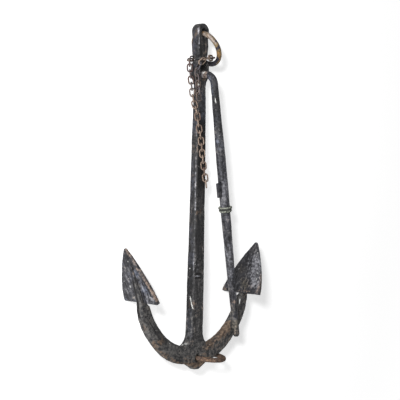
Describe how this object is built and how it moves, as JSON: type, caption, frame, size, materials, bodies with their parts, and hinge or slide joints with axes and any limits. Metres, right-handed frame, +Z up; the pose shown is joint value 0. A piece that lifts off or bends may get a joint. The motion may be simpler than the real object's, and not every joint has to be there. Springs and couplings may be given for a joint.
{
  "type": "barnacled anchor",
  "caption": "Old forged fisherman's anchor with pointed palms, a folding stock stowed alongside, a head ring, a crown ring and a short-link chain round the neck.",
  "frame": {"origin": "centre of the footprint, on the level that it lies on", "axes": "+Y along the shank from the crown to the head, +Z up out of the front face, +X to the right arm"},
  "size_m": [0.6234, 1.1208, 0.1638],
  "materials": {
    "pitted_black_iron": "pitted black oxide over forged iron, with rust",
    "palm_plate_iron": "pitted black oxide with rusted edges",
    "worn_ring_iron": "tan and ochre weathered iron with black patches",
    "rusted_ring_iron": "brown rust",
    "stock_bar_iron": "pitted black oxide with pale flecks",
    "limed_collar_iron": "pale grey-green limy crust",
    "rusted_chain_iron": "tan-brown rust"
  },
  "bodies": {
    "anchor": {"shank_and_arms": "pitted_black_iron", "palm_left": "palm_plate_iron", "palm_right": "palm_plate_iron", "chain_link_11": "rusted_chain_iron", "chain_link_12": "rusted_chain_iron", "chain_link_13": "rusted_chain_iron", "chain_link_14": "rusted_chain_iron", "chain_link_15": "rusted_chain_iron", "chain_link_16": "rusted_chain_iron", "chain_link_17": "rusted_chain_iron", "chain_link_18": "rusted_chain_iron", "chain_link_19": "rusted_chain_iron", "chain_link_20": "rusted_chain_iron", "chain_link_21": "rusted_chain_iron", "chain_link_22": "rusted_chain_iron", "chain_link_23": "rusted_chain_iron", "chain_link_24": "rusted_chain_iron", "chain_link_25": "rusted_chain_iron", "chain_link_26": "rusted_chain_iron", "chain_link_27": "rusted_chain_iron", "chain_link_28": "rusted_chain_iron", "chain_link_29": "rusted_chain_iron", "chain_link_30": "rusted_chain_iron", "chain_link_31": "rusted_chain_iron", "chain_link_32": "rusted_chain_iron", "chain_link_33": "rusted_chain_iron", "chain_link_34": "rusted_chain_iron", "chain_link_35": "rusted_chain_iron", "chain_link_36": "rusted_chain_iron", "chain_link_37": "rusted_chain_iron"},
    "head_ring": {"head_ring": "worn_ring_iron"},
    "crown_ring": {"crown_ring": "rusted_ring_iron"},
    "folding_stock": {"stock": "stock_bar_iron", "stock_collar": "limed_collar_iron", "stock_key": "stock_bar_iron"},
    "chain_tail": {"chain_link_01": "rusted_chain_iron", "chain_link_02": "rusted_chain_iron", "chain_link_03": "rusted_chain_iron", "chain_link_04": "rusted_chain_iron", "chain_link_05": "rusted_chain_iron", "chain_link_06": "rusted_chain_iron", "chain_link_07": "rusted_chain_iron", "chain_link_08": "rusted_chain_iron", "chain_link_09": "rusted_chain_iron", "chain_link_10": "rusted_chain_iron"}
  },
  "joints": [
    {"name": "head_ring_swing", "type": "hinge", "parent": "anchor", "child": "head_ring", "pos_m": [0, 0.53153, 0.06121], "axis": [0, 0.0242, 0.9997], "range_deg": [0, 285]},
    {"name": "crown_ring_swing", "type": "hinge", "parent": "anchor", "child": "crown_ring", "pos_m": [0.005, -0.52366, 0.08671], "axis": [0, 0.0242, 0.9997], "range_deg": [-172, 1]},
    {"name": "stock_swing", "type": "hinge", "parent": "anchor", "child": "folding_stock", "pos_m": [-0.0015, 0.39487, 0.06451], "axis": [0, 0.0242, 0.9997], "range_deg": [-26, 4]},
    {"name": "chain_tail_swing", "type": "hinge", "parent": "anchor", "child": "chain_tail", "pos_m": [-0.0242, 0.22961, 0.09023], "axis": [0, 0.0242, 0.9997], "range_deg": [-20, 12]}
  ]
}
